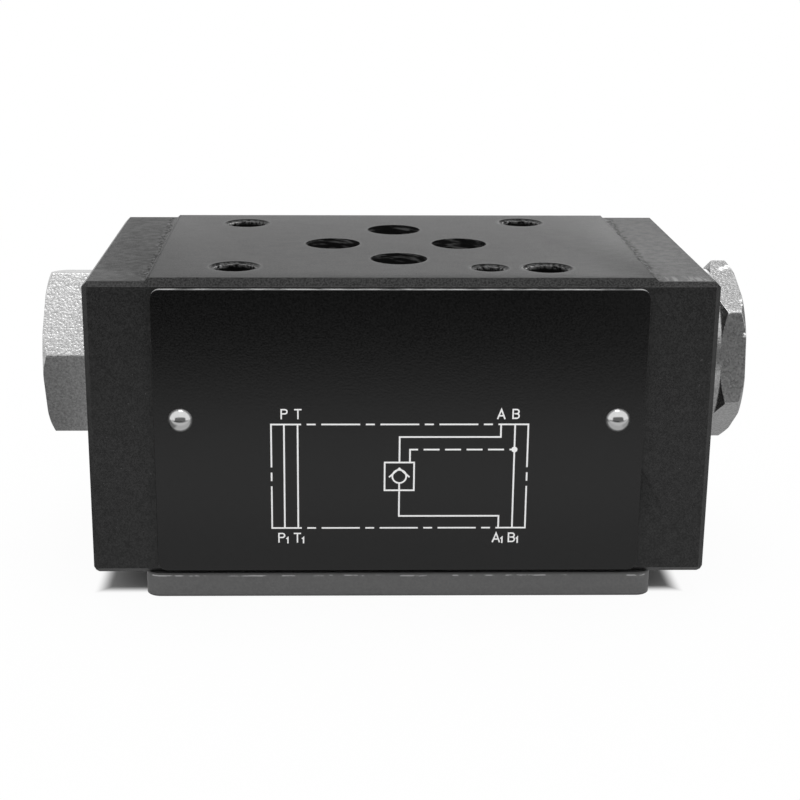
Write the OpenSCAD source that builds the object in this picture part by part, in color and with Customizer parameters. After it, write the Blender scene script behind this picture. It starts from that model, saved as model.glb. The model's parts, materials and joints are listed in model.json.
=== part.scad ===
// Modular pilot-operated check valve with the ISO 4401-03 hole pattern.
// Millimetres. The origin is on the underside of the seal plate, midway between ports A and B.
// +X runs from port A to port B, +Y from port P to port T, +Z up.

/* [Body] */
// Length of the body between its two end faces
body_length = 80.6; // [76:0.1:100]
// Depth of the body, front to back
body_depth = 46.5; // [45:0.5:60]
// Height of the body, from the seal plate to the milled pad
body_height = 39.6; // [38:0.1:60]
// Length of the milled pad on the top face
pad_length = 64; // [60:0.5:70]
// Drop from the milled pad to the end zones
pad_step = 0.4; // [0.2:0.1:1]
// Chamfer on the ends and on the lower edges
edge_chamfer = 0.7; // [0.3:0.1:1.5]
// Chamfer on the two long top edges
top_chamfer = 1; // [0.5:0.1:2]

/* [Port pattern] */
// Distance between ports A and B
port_ab_spacing = 17.5; // [17:0.1:19]
// Distance between ports P and T
port_pt_spacing = 20.8; // [20:0.1:23]
// Distance of ports P and T from the middle of A and B, towards B
port_pt_shift = 0.05; // [0:0.05:0.5]
// Diameter of the ports
port_diameter = 7.5; // [6:0.1:8]
// Distance from the middle of A and B to the bolts on the A side
bolt_a_distance = 21.45; // [21:0.05:24]
// Distance between the two bolts on the A side
bolt_a_spacing = 31; // [30:0.1:33]
// Distance from the middle of A and B to the bolts on the B side
bolt_b_distance = 19.05; // [18.5:0.05:21]
// Distance between the two bolts on the B side
bolt_b_spacing = 32.5; // [31:0.1:34]
// Diameter of the bolt holes
bolt_hole_diameter = 5.5; // [5:0.1:6]
// Distance of the locating pin hole from the middle of A and B, towards B
pin_distance = 11.55; // [11:0.05:13]
// Distance of the locating pin hole from the bore axis, towards the front
pin_setback = 16.25; // [15:0.05:18]
// Diameter of the locating pin hole
pin_hole_diameter = 4; // [3:0.1:5]
// Depth of the locating pin hole
pin_hole_depth = 6; // [4:0.5:10]
// Chamfer on the bolt holes and on the pin hole
hole_chamfer = 0.35; // [0.1:0.05:0.6]

/* [Seal plate] */
// Length of the seal plate
plate_length = 67; // [62:0.5:72]
// Thickness of the seal plate
plate_thickness = 3.3; // [2:0.1:4]
// Corner radius of the seal plate
plate_corner = 2; // [1:0.1:4]
// Inner diameter of a port ring
ring_inner_diameter = 9.25; // [8.5:0.05:9.5]
// Thickness of a port ring before it is squeezed
ring_section = 1.78; // [1.5:0.01:1.9]
// Depth of the recess that holds a port ring
ring_recess_depth = 1.35; // [1:0.05:1.5]
// Distance of a plate screw from the end of the plate
screw_edge_distance = 4.5; // [4:0.1:6]
// Diameter of a plate screw
screw_diameter = 3; // [2.5:0.1:3.5]
// Diameter of the countersunk head of a plate screw
screw_head_diameter = 5.6; // [5:0.1:6]
// Length of a plate screw
screw_length = 8; // [6:0.5:12]
// Width across flats of the socket in a plate screw
screw_socket_width = 2; // [1.5:0.1:2.2]
// Depth of the socket in a plate screw
screw_socket_depth = 1; // [0.6:0.1:1.5]

/* [Nameplate] */
// Width of the nameplate
nameplate_width = 62.9; // [50:0.1:70]
// Distance of the nameplate's middle from the middle of the body, towards port B
nameplate_shift = -0.2; // [-1:0.1:1]
// Thickness of the nameplate
nameplate_thickness = 0.8; // [0.5:0.1:1.5]
// Corner radius of the nameplate
nameplate_corner = 1.2; // [0.5:0.1:3]
// Distance from the top of the body to the nameplate
nameplate_top_margin = 1.2; // [1:0.1:4]
// Distance from the bottom of the body to the nameplate
nameplate_bottom_margin = 0.7; // [0.5:0.1:4]
// Distance of a rivet from the end of the nameplate
rivet_edge_distance = 3.4; // [2.5:0.05:6]
// Distance of the rivets below the top of the body
rivet_drop = 18.3; // [10:0.1:25]
// Diameter of a rivet head
rivet_head_diameter = 3.2; // [2.4:0.1:4]
// Height of a rivet head
rivet_head_height = 1; // [0.6:0.1:1.2]
// Diameter of a rivet shank
rivet_shank_diameter = 1.8; // [1.2:0.1:2]
// Length of a rivet shank
rivet_length = 5; // [3:0.5:8]

/* [Plugs] */
// Depth of the bore axis below the milled pad
bore_drop = 15.1; // [14:0.1:18]
// Nominal thread diameter of both plugs
thread_diameter = 18; // [17.4:0.1:18.6]
// Length of the thread on the pilot side
pilot_thread_length = 12; // [9:0.5:16]
// Width across flats of both hexagons
hex_across_flats = 21.8; // [21.4:0.1:24]
// Height of the hexagon on the check side
check_hex_height = 7.45; // [6:0.05:12]
// Angle of a hexagon corner above the front, check side
check_hex_angle = 10.1; // [0:0.1:60]
// Height of the hexagon on the pilot side
pilot_hex_height = 3.35; // [3:0.05:8]
// Angle of a hexagon corner above the front, pilot side
pilot_hex_angle = 37.8; // [0:0.1:60]
// Diameter of the round collar on the pilot side
collar_diameter = 22.6; // [22.2:0.1:24.4]
// Height of the round collar on the pilot side
collar_height = 3.5; // [2:0.05:6]
// Section diameter of a plug ring
plug_ring_section = 2; // [1.6:0.1:2.2]
// Depth of the neck that holds a plug ring
neck_relief = 1; // [0.8:0.1:1.4]

/* [Check valve] */
// Diameter of the main bore
main_bore_diameter = 10; // [9.4:0.1:10.6]
// Land between port A and the seat
seat_shoulder = 0.5; // [0.3:0.1:1.5]
// Outer diameter of the seat
seat_diameter = 13; // [12:0.1:14]
// Length of the seat
seat_length = 5; // [4:0.1:6]
// Diameter of the hole in the seat
seat_hole_diameter = 7.2; // [6.4:0.1:8]
// Height of the bevel that the poppet closes on
seat_bevel = 0.6; // [0.3:0.1:0.8]
// Diameter of the chamber behind the seat
chamber_diameter = 16; // [15:0.1:17]
// Length of the chamber behind the seat
chamber_length = 10; // [9.5:0.1:12]
// Diameter of the inclined drilling from the chamber to the lower port A
passage_diameter = 6; // [4:0.1:6.4]
// Depth of the lower port A
passage_mouth_depth = 6; // [5.5:0.1:7]
// Diameter of the poppet
poppet_diameter = 9.9; // [9:0.1:10.6]
// Diameter of the flat on the poppet's nose
poppet_nose_diameter = 4.6; // [4.2:0.1:5.6]
// Length of the poppet inside its guide when closed
guide_length = 5.5; // [4:0.1:8]
// Diameter of the spring pocket in the poppet
pocket_diameter = 6.6; // [6:0.1:7.4]
// Thickness of the poppet between its pocket and its cone
poppet_floor = 1.7; // [1:0.1:2.5]
// Diameter of the cross holes in the poppet
vent_diameter = 2; // [1:0.1:2.6]
// Lift of the poppet in free flow
poppet_lift = 2.5; // [1.5:0.1:3.5]
// Wire diameter of the spring
spring_wire = 0.9; // [0.6:0.05:1.1]
// Number of turns of the spring
spring_turns = 8; // [6:1:9]
// Stroke of the pilot piston
piston_stroke = 1.8; // [1:0.1:2.5]
// Length of the land of the pilot piston
land_length = 9; // [8:0.1:10]
// Diameter of the noses of the pilot piston
piston_nose_diameter = 4; // [3:0.1:4.2]
// Number of balance grooves in the land of the pilot piston
land_grooves = 3; // [2:1:4]

/* [Clearances] */
// Radial clearance of the piston and of the poppet
running_clearance = 0.04; // [0.02:0.01:0.08]
// Radial gap around threads, the seat and shanks
seat_gap = 0.03; // [0.01:0.01:0.08]
// Gap between the closed poppet and its seat, and between piston and poppet
contact_gap = 0.05; // [0.03:0.01:0.1]
// Gap between the pilot piston and its stop
stop_gap = 0.3; // [0.1:0.1:0.5]
// Room behind the poppet at full lift
end_room = 0.7; // [0.3:0.1:1.5]
// Room around a rubber ring in its groove
ring_room = 0.05; // [0.02:0.01:0.1]
// Room around the spring and at its ends
spring_room = 0.1; // [0.05:0.05:0.3]

/* [Hidden] */
$fn = 96;

// How far a cut runs past the face that it opens
over = 2;
// Corners of a hexagon
hex_sides = 6;

// Heights
body_top = plate_thickness + body_height;
axis_z = body_top - bore_drop;

// Stations along the bore, from the check side to the pilot side
end_a = -body_length / 2;
end_b = body_length / 2;
port_a_x = -port_ab_spacing / 2;
port_b_x = port_ab_spacing / 2;
seat_b = port_a_x - port_diameter / 2 - seat_shoulder;
seat_a = seat_b - seat_length;
chamber_a = seat_a - chamber_length;
pilot_thread_x = end_b - pilot_thread_length;

// Ports: name, x and y
PORTS = [
    ["p", port_pt_shift, -port_pt_spacing / 2],
    ["t", port_pt_shift, port_pt_spacing / 2],
    ["a", port_a_x, 0],
    ["b", port_b_x, 0]
];

// Bolt holes: x and y
BOLTS = [
    [-bolt_a_distance, -bolt_a_spacing / 2],
    [-bolt_a_distance, bolt_a_spacing / 2],
    [bolt_b_distance, -bolt_b_spacing / 2],
    [bolt_b_distance, bolt_b_spacing / 2]
];

// Left and right pieces: name and side
SIDES = [["left", -1], ["right", 1]];

// Port rings
recess_r = ring_inner_diameter / 2 + ring_section + ring_room;
recess_top = plate_thickness + ring_recess_depth;
ring_mid_r = (ring_inner_diameter + ring_section) / 2;
ring_sides = 48;

// Plate screws
screw_x = plate_length / 2 - screw_edge_distance;
screw_head_height = (screw_head_diameter - screw_diameter) / 2;
screw_hole = screw_diameter + 2 * seat_gap;
screw_socket_corner_r = screw_socket_width / 2 / cos(180 / hex_sides);

// Nameplate and rivets
nameplate_bottom = plate_thickness + nameplate_bottom_margin;
nameplate_height = body_height - nameplate_top_margin - nameplate_bottom_margin;
nameplate_mid_z = nameplate_bottom + nameplate_height / 2;
front_y = -body_depth / 2;
rivet_x = nameplate_width / 2 - rivet_edge_distance;
rivet_z = body_top - rivet_drop;
rivet_head_r = rivet_head_diameter / 2;
rivet_hole = rivet_shank_diameter + 2 * seat_gap;
rivet_dome_r = (pow(rivet_head_r, 2) + pow(rivet_head_height, 2)) / (2 * rivet_head_height);

// Plugs
thread_r = thread_diameter / 2;
shank_r = thread_r - seat_gap;
neck_r = thread_r - neck_relief;
mouth_r = neck_r + plug_ring_section + 2 * ring_room;
mouth_depth = plug_ring_section + 2 * ring_room;
plug_ring_mid_r = neck_r + ring_room + plug_ring_section / 2;
hex_corner_r = hex_across_flats / 2 / cos(180 / hex_sides);
hex_chamfer_angle = 30;
// The end face's circle reaches past the flats, so the chamfer takes off the corners only
hex_face_reach = 0.4;
hex_face_r = hex_across_flats / 2 + hex_face_reach;
// The chamfer's cone is drawn on past the corners
hex_turn_r = hex_corner_r + hex_face_reach;
hex_chamfer = (hex_turn_r - hex_face_r) * tan(hex_chamfer_angle);
check_head_x = end_a - check_hex_height;
collar_r = collar_diameter / 2;
collar_x = end_b + collar_height;
pilot_head_x = collar_x + pilot_hex_height;
// The pilot head grows out of the collar's face on a cone that starts inside the collar
collar_rim = 0.05;
head_root = 1;
head_cone_r = collar_r - collar_rim;
head_root_r = head_cone_r - head_root / tan(hex_chamfer_angle);
collar_chamfer = (hex_turn_r - head_cone_r) * tan(hex_chamfer_angle);

// Poppet: its cone lies parallel to the bevel of the seat
bevel_sum = seat_a + seat_hole_diameter / 2 + seat_bevel;
cone_sum = bevel_sum - contact_gap * sqrt(2);
poppet_r = poppet_diameter / 2;
poppet_nose_x = cone_sum - poppet_nose_diameter / 2;
cone_x = cone_sum - poppet_r;
poppet_a = chamber_a - guide_length;
pocket_r = pocket_diameter / 2;
pocket_x = cone_x - poppet_floor;
poppet_edge = 0.4;
guide_r = poppet_r + running_clearance;
guide_end = poppet_a - piston_stroke - poppet_lift - end_room;

// Spring: centre line of the wire
spring_r = pocket_r - spring_room - spring_wire / 2;
spring_a = guide_end + spring_room + spring_wire / 2;
spring_b = pocket_x - spring_room - spring_wire / 2;
spring_steps = 20;
spring_sides = 8;

// Pilot piston
piston_r = main_bore_diameter / 2 - running_clearance;
piston_tip = poppet_nose_x + contact_gap;
piston_nose_r = piston_nose_diameter / 2;
groove_width = 0.4;
groove_depth = 0.3;
piston_edge = 0.3;
stem_r = main_bore_diameter / 2 - stop_gap;
stem_x = -piston_tip + stop_gap;

// Inclined drilling from the lower port A up to the chamber
drill_point_angle = 118;
passage_r = passage_diameter / 2;
passage_start = [port_a_x, 0, plate_thickness + passage_mouth_depth / 2];
passage_end = [chamber_a + passage_r, 0, axis_z - chamber_diameter / 2 + passage_r];
passage_run = passage_end - passage_start;

// Finishes
iron_black = [0.17, 0.17, 0.18];
plate_grey = [0.55, 0.56, 0.57];
satin_black = [0.1, 0.1, 0.1];
zinc = [0.75, 0.75, 0.74];
steel = [0.62, 0.62, 0.64];
rubber = [0.08, 0.08, 0.08];

// A shape turned about the bore axis: each point is a radius and a station along the bore
module turned(points) {
    translate([0, 0, axis_z])
        rotate([0, 90, 0])
            rotate_extrude()
                polygon(points);
}

// A vertical hole between two heights
module hole(x, y, z_from, z_to, diameter) {
    translate([x, y, z_from])
        cylinder(h = z_to - z_from, d = diameter);
}

// A chamfer around a vertical hole in the top face
module top_hole_chamfer(x, y, diameter) {
    translate([x, y, body_top - hole_chamfer])
        cylinder(h = 2 * hole_chamfer, d1 = diameter, d2 = diameter + 4 * hole_chamfer);
}

// The cone that a drill leaves at the end of a blind hole
module drill_point(diameter) {
    cylinder(h = diameter / 2 / tan(drill_point_angle / 2), d1 = diameter, d2 = 0);
}

// A rectangle with round corners, centred
module round_rectangle(length, width, corner) {
    square([length - 2 * corner, width], center = true);
    square([length, width - 2 * corner], center = true);
    for (x = [-1, 1], y = [-1, 1])
        translate([x * (length / 2 - corner), y * (width / 2 - corner)])
            circle(r = corner);
}

// A length of hexagon bar along the bore, turned to a profile of radii and stations
module hexagon_head(x_from, x_to, corner_angle, points) {
    intersection() {
        translate([x_from - over, 0, axis_z])
            rotate([0, 90, 0])
                rotate([0, 0, -90 - corner_angle])
                    cylinder(h = x_to - x_from + 2 * over, r = hex_corner_r, $fn = hex_sides);
        turned(points);
    }
}

// The outer block: a side profile, an end profile and a plan profile intersected
module body_block() {
    half_x = body_length / 2;
    half_y = body_depth / 2;
    half_pad = pad_length / 2;
    end_top = body_height - pad_step;
    translate([0, 0, plate_thickness])
        intersection() {
            rotate([90, 0, 0])
                linear_extrude(body_depth, center = true)
                    polygon([
                        [-half_x + edge_chamfer, 0], [half_x - edge_chamfer, 0], [half_x, edge_chamfer],
                        [half_x, end_top - edge_chamfer], [half_x - edge_chamfer, end_top],
                        [half_pad + pad_step, end_top], [half_pad, body_height],
                        [-half_pad, body_height], [-half_pad - pad_step, end_top],
                        [-half_x + edge_chamfer, end_top], [-half_x, end_top - edge_chamfer],
                        [-half_x, edge_chamfer]
                    ]);
            rotate([90, 0, 90])
                linear_extrude(body_length, center = true)
                    polygon([
                        [-half_y + edge_chamfer, 0], [half_y - edge_chamfer, 0], [half_y, edge_chamfer],
                        [half_y, body_height - top_chamfer], [half_y - top_chamfer, body_height],
                        [-half_y + top_chamfer, body_height], [-half_y, body_height - top_chamfer],
                        [-half_y, edge_chamfer]
                    ]);
            linear_extrude(body_height)
                polygon([
                    [-half_x + edge_chamfer, -half_y], [half_x - edge_chamfer, -half_y],
                    [half_x, -half_y + edge_chamfer], [half_x, half_y - edge_chamfer],
                    [half_x - edge_chamfer, half_y], [-half_x + edge_chamfer, half_y],
                    [-half_x, half_y - edge_chamfer], [-half_x, -half_y + edge_chamfer]
                ]);
        }
}

// The stepped bore that runs through the body from end to end
module stepped_bore() {
    chamber_r = chamber_diameter / 2;
    seat_r = seat_diameter / 2;
    bore_r = main_bore_diameter / 2;
    turned([
        [0, end_a - over], [mouth_r, end_a - over],
        [mouth_r, end_a + mouth_depth], [thread_r, end_a + mouth_depth],
        [thread_r, chamber_a], [chamber_r, chamber_a],
        [chamber_r, seat_a], [seat_r, seat_a],
        [seat_r, seat_b], [bore_r, seat_b],
        [bore_r, pilot_thread_x], [thread_r, pilot_thread_x],
        [thread_r, end_b - mouth_depth], [mouth_r, end_b - mouth_depth],
        [mouth_r, end_b + over], [0, end_b + over]
    ]);
}

// The drilling that joins the chamber to the lower port A
module inclined_passage() {
    run = norm(passage_run);
    tilt = atan2(passage_run[0], passage_run[2]);
    hole(port_a_x, 0, plate_thickness - over, plate_thickness + passage_mouth_depth, port_diameter);
    translate(passage_start)
        rotate([0, tilt, 0])
            cylinder(h = run, d = passage_diameter);
}

module valve_body() {
    color(iron_black)
        difference() {
            body_block();
            stepped_bore();
            inclined_passage();
            // Ports P, T and B run straight through, and port A ends in the main bore
            for (port = PORTS) {
                z_from = port[0] == "a" ? axis_z : plate_thickness - over;
                hole(port[1], port[2], z_from, body_top + over, port_diameter);
                hole(port[1], port[2], plate_thickness - over, recess_top, 2 * recess_r);
            }
            for (bolt = BOLTS) {
                hole(bolt[0], bolt[1], plate_thickness - over, body_top + over, bolt_hole_diameter);
                top_hole_chamfer(bolt[0], bolt[1], bolt_hole_diameter);
            }
            hole(pin_distance, -pin_setback, body_top - pin_hole_depth, body_top + over, pin_hole_diameter);
            top_hole_chamfer(pin_distance, -pin_setback, pin_hole_diameter);
            translate([pin_distance, -pin_setback, body_top - pin_hole_depth])
                mirror([0, 0, 1])
                    drill_point(pin_hole_diameter);
            for (side = SIDES) {
                translate([side[1] * screw_x, 0, plate_thickness - over])
                    cylinder(h = screw_length - plate_thickness + 2 * over, d = screw_hole);
                translate([nameplate_shift + side[1] * rivet_x, front_y - over, rivet_z])
                    rotate([-90, 0, 0])
                        cylinder(h = rivet_length + 2 * over, d = rivet_hole);
            }
        }
}

module seal_plate() {
    color(plate_grey)
        difference() {
            linear_extrude(plate_thickness)
                round_rectangle(plate_length, body_depth, plate_corner);
            for (port = PORTS) {
                hole(port[1], port[2], -over, plate_thickness + over, port_diameter);
                hole(port[1], port[2], -over, ring_recess_depth, 2 * recess_r);
            }
            for (bolt = BOLTS)
                hole(bolt[0], bolt[1], -over, plate_thickness + over, bolt_hole_diameter);
            for (side = SIDES)
                translate([side[1] * screw_x, 0, 0])
                    screw_form(seat_gap, plate_thickness + over);
        }
}

// A port ring squeezed to the depth of its recess
module port_ring(port, z_from) {
    color(rubber)
        translate([port[1], port[2], z_from])
            rotate_extrude()
                intersection() {
                    translate([ring_mid_r, ring_recess_depth / 2])
                        circle(d = ring_section, $fn = ring_sides);
                    translate([ring_mid_r - ring_section, 0])
                        square([2 * ring_section, ring_recess_depth]);
                }
}

// A countersunk screw from the underside upwards, with a gap all round it
module screw_form(gap, length) {
    rotate_extrude()
        polygon([
            [0, -gap], [screw_head_diameter / 2 + gap, -gap], [screw_head_diameter / 2 + gap, 0],
            [screw_diameter / 2 + gap, screw_head_height], [screw_diameter / 2 + gap, length], [0, length]
        ]);
}

module plate_screw(side) {
    color(steel)
        translate([side * screw_x, 0, 0])
            difference() {
                screw_form(0, screw_length);
                translate([0, 0, -over])
                    cylinder(h = screw_socket_depth + over, r = screw_socket_corner_r, $fn = hex_sides);
            }
}

module nameplate() {
    color(satin_black)
        translate([nameplate_shift, front_y, nameplate_mid_z])
            rotate([90, 0, 0])
                difference() {
                    linear_extrude(nameplate_thickness)
                        round_rectangle(nameplate_width, nameplate_height, nameplate_corner);
                    for (side = SIDES)
                        translate([side[1] * rivet_x, rivet_z - nameplate_mid_z, -over])
                            cylinder(h = nameplate_thickness + 2 * over, d = rivet_hole);
                }
}

// A drive rivet: a domed head on the nameplate and a shank in the body
module rivet(side) {
    color(zinc)
        translate([nameplate_shift + side * rivet_x, front_y - nameplate_thickness, rivet_z])
            rotate([90, 0, 0]) {
                intersection() {
                    translate([0, 0, rivet_head_height - rivet_dome_r])
                        sphere(r = rivet_dome_r);
                    cylinder(h = rivet_head_height + over, r = rivet_head_r + over);
                }
                translate([0, 0, -rivet_length])
                    cylinder(h = rivet_length + rivet_head_height / 2, d = rivet_shank_diameter);
            }
}

module check_plug() {
    color(zinc)
        difference() {
            union() {
                hexagon_head(check_head_x, end_a, check_hex_angle, [
                    [0, check_head_x], [hex_face_r, check_head_x],
                    [hex_turn_r, check_head_x + hex_chamfer], [hex_turn_r, end_a], [0, end_a]
                ]);
                turned([
                    [0, end_a - check_hex_height / 2], [neck_r, end_a - check_hex_height / 2],
                    [neck_r, end_a + mouth_depth], [shank_r, end_a + mouth_depth],
                    [shank_r, chamber_a], [0, chamber_a]
                ]);
            }
            turned([
                [0, guide_end], [guide_r, guide_end],
                [guide_r, chamber_a + over], [0, chamber_a + over]
            ]);
        }
}

module pilot_plug() {
    color(zinc)
        union() {
            hexagon_head(collar_x - head_root, pilot_head_x, pilot_hex_angle, [
                [0, collar_x - head_root], [head_root_r, collar_x - head_root],
                [hex_turn_r, collar_x + collar_chamfer], [hex_turn_r, pilot_head_x - hex_chamfer],
                [hex_face_r, pilot_head_x], [0, pilot_head_x]
            ]);
            turned([
                [0, collar_x], [collar_r, collar_x], [collar_r, end_b], [neck_r, end_b],
                [neck_r, end_b - mouth_depth], [shank_r, end_b - mouth_depth],
                [shank_r, pilot_thread_x], [stem_r, pilot_thread_x],
                [stem_r, stem_x], [0, stem_x]
            ]);
        }
}

// The rubber ring in the neck of a plug, at a station along the bore
module plug_ring(x) {
    color(rubber)
        translate([x, 0, axis_z])
            rotate([0, 90, 0])
                rotate_extrude()
                    translate([plug_ring_mid_r, 0])
                        circle(d = plug_ring_section, $fn = ring_sides);
}

module valve_seat() {
    hole_r = seat_hole_diameter / 2;
    outer_r = seat_diameter / 2 - seat_gap;
    color(steel)
        turned([
            [hole_r, seat_b], [outer_r, seat_b], [outer_r, seat_a],
            [hole_r + seat_bevel, seat_a], [hole_r, seat_a + seat_bevel]
        ]);
}

module check_poppet() {
    vent_x = (pocket_x + chamber_a) / 2;
    color(steel)
        difference() {
            turned([
                [0, poppet_nose_x], [poppet_nose_diameter / 2, poppet_nose_x],
                [poppet_r, cone_x], [poppet_r, poppet_a + poppet_edge],
                [poppet_r - poppet_edge, poppet_a], [pocket_r, poppet_a],
                [pocket_r, pocket_x], [0, pocket_x]
            ]);
            for (turn = [0, 90])
                translate([vent_x, 0, axis_z])
                    rotate([turn, 0, 0])
                        cylinder(h = 2 * poppet_diameter, d = vent_diameter, center = true);
        }
}

// Station of the spring's wire after a number of turns: the end turns lie closed
function spring_x(turn) =
    turn < 1 ? spring_a + turn * spring_wire :
    turn > spring_turns - 1 ? spring_b - (spring_turns - turn) * spring_wire :
    spring_a + spring_wire
        + (turn - 1) / (spring_turns - 2) * (spring_b - spring_a - 2 * spring_wire);

// One corner of the wire's section, at a number of turns and an angle around the wire
function spring_corner(turn, angle) =
    let (reach = spring_r + spring_wire / 2 * cos(angle))
    [
        spring_x(turn) + spring_wire / 2 * sin(angle),
        reach * cos(360 * turn),
        axis_z + reach * sin(360 * turn)
    ];

module check_spring() {
    rings = spring_turns * spring_steps;
    points = [
        for (i = [0:rings], k = [0:spring_sides - 1])
            spring_corner(i / spring_steps, 360 * k / spring_sides)
    ];
    walls = [
        for (i = [0:rings - 1], k = [0:spring_sides - 1])
            let (next = (k + 1) % spring_sides)
            [
                i * spring_sides + k, i * spring_sides + next,
                (i + 1) * spring_sides + next, (i + 1) * spring_sides + k
            ]
    ];
    first = [for (k = [0:spring_sides - 1]) spring_sides - 1 - k];
    last = [for (k = [0:spring_sides - 1]) rings * spring_sides + k];
    color(steel)
        polyhedron(points, concat(walls, [first, last]), convexity = 10);
}

module pilot_piston() {
    half = land_length / 2;
    pitch = land_length / (land_grooves + 1);
    color(steel)
        difference() {
            turned([
                [0, piston_tip], [piston_nose_r - piston_edge, piston_tip],
                [piston_nose_r, piston_tip + piston_edge], [piston_nose_r, -half],
                [piston_r - piston_edge, -half], [piston_r, -half + piston_edge],
                [piston_r, half - piston_edge], [piston_r - piston_edge, half],
                [piston_nose_r, half], [piston_nose_r, -piston_tip - piston_edge],
                [piston_nose_r - piston_edge, -piston_tip], [0, -piston_tip]
            ]);
            for (i = [1:land_grooves])
                let (x = -half + i * pitch)
                turned([
                    [piston_r - groove_depth, x - groove_width / 2], [piston_r + over, x - groove_width / 2],
                    [piston_r + over, x + groove_width / 2], [piston_r - groove_depth, x + groove_width / 2]
                ]);
        }
}

valve_body();
seal_plate();
for (port = PORTS) {
    port_ring(port, plate_thickness);
    port_ring(port, 0);
}
for (side = SIDES) {
    plate_screw(side[1]);
    rivet(side[1]);
}
nameplate();
check_plug();
plug_ring(end_a + mouth_depth / 2);  // check_plug_seal
check_spring();
check_poppet();
valve_seat();
pilot_piston();
pilot_plug();
plug_ring(end_b - mouth_depth / 2);  // pilot_plug_seal
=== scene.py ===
"""Looks of a modular check valve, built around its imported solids.

Sizes and places are in millimetres in the part's own frame, and MM turns them into metres.
"""
import json
import math
from types import SimpleNamespace

import bmesh
import bpy
import numpy as np
from mathutils import Matrix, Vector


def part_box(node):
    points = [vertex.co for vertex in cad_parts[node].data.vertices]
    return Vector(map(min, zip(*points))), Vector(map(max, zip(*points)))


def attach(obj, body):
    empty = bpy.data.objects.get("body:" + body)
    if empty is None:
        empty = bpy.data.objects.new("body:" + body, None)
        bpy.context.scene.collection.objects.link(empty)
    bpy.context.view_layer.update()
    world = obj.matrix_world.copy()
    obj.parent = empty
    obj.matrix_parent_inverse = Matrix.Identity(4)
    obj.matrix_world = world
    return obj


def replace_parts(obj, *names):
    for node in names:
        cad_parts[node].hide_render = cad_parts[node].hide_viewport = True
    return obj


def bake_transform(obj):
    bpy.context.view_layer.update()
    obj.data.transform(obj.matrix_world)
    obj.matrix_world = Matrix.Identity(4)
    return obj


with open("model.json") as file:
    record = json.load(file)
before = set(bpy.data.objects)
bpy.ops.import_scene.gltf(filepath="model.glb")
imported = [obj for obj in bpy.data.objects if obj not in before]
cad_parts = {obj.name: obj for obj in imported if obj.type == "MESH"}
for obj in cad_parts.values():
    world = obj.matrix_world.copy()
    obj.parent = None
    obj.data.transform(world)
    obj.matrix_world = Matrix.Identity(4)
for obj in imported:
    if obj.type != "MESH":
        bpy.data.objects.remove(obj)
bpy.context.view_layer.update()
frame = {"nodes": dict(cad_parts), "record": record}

MM = 0.001
MERGE = 2e-6


def span(node):
    """Lowest and highest corner of a solid, in millimetres."""
    low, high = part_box(node)
    return np.array(low) / MM, np.array(high) / MM


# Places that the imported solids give
body_low, body_high = span("valve_body")
plate_low, plate_high = span("seal_plate")
check_low, check_high = span("check_plug")
pilot_low, pilot_high = span("pilot_plug")
spring_low, spring_high = span("check_spring")
label_front = span("nameplate")[0][1]
axis_z = (check_low[2] + check_high[2]) / 2
mounts = {mount["name"]: mount for mount in frame["record"]["mounts"]}


def mount_place(name):
    """Place of a mount along x and y, in millimetres."""
    return [value / MM for value in mounts[name]["pos_m"][:2]]


def mount_size(name, size):
    """One of a mount's sizes, in millimetres."""
    return mounts[name]["dims"][size]


# Sizes of the turned and milled forms
PAD_HALF = 32
PAD_STEP = 0.4
TOP_CHAMFER = 1
HEX_FLATS = 21.8
HEX_SIDES = 6
HEX_CHAMFER_ANGLE = math.radians(30)
HEX_FACE_REACH = 0.4
HEX_ROUNDING = 0.08
HEX_FACE_RIM = 1
CHECK_CORNER = math.radians(10.1)
PILOT_CORNER = math.radians(37.8)
COLLAR_R = 11.3
COLLAR_RIM = 0.05
COLLAR_HEIGHT = 3.5
THREAD_R = 9
SEAT_GAP = 0.03
NECK_R = 8
MOUTH_DEPTH = 2.1
GUIDE_R = 4.99
GUIDE_END = -38.5
PILOT_THREAD_LENGTH = 12
STEM_R = 4.7
RIVET_DOME = 1
RIVET_SHANK_R = 0.9

# Bevels on the edges of the milled pieces
BODY_BEVEL = 0.1
PLATE_BEVEL = 0.15
LABEL_BEVEL = 0.08
BEVEL_SEGMENTS = 2

# Layer of print on the nameplate
INK_EDGE = 0.03
INK_HEIGHT = 0.03
INK_SUNK = 0.01
INK_LAYER = 0.0004

# Fineness of the drawn forms
BEND_STEPS = 6
BEND_SHARE = 0.45
EDGE_CUT = 0.08
FINE = 0.1
COARSE = 2
PLUG_STEPS = 600
RIVET_STEPS = 64
DOME_STEPS = 24
DOT_STEPS = 32

# Angles in degrees, from which an edge counts as flat, as a bevelled edge or as sharp
FLAT_ANGLE = 0.05
EDGE_ANGLE = 25
SHARP_ANGLE = 40
PRINT_ANGLE = 20

# Directions for turned forms
ALONG_BORE = {"axis": [1, 0, 0], "front": [0, -1, 0], "side": [0, 0, 1]}
FACING_FRONT = {"axis": [0, -1, 0], "front": [1, 0, 0], "side": [0, 0, 1]}


# Shapes

def grid_faces(rows, columns, wrap):
    """Quads between neighbouring points of a grid; with wrap the last column joins the first."""
    row = np.arange(rows - 1)[:, None] * columns
    column = np.arange(columns if wrap else columns - 1)[None, :]
    after = (column + 1) % columns
    corners = [row + column, row + after, row + columns + after, row + columns + column]
    return np.stack(corners, axis=-1).reshape(-1, 4).tolist()


def tube_faces(rings, corners):
    """Quads between rings that follow each other, and a face that closes each end."""
    last = (rings - 1) * corners
    ends = [list(range(corners)), list(range(last, last + corners))]
    return grid_faces(rings, corners, True) + ends


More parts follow.
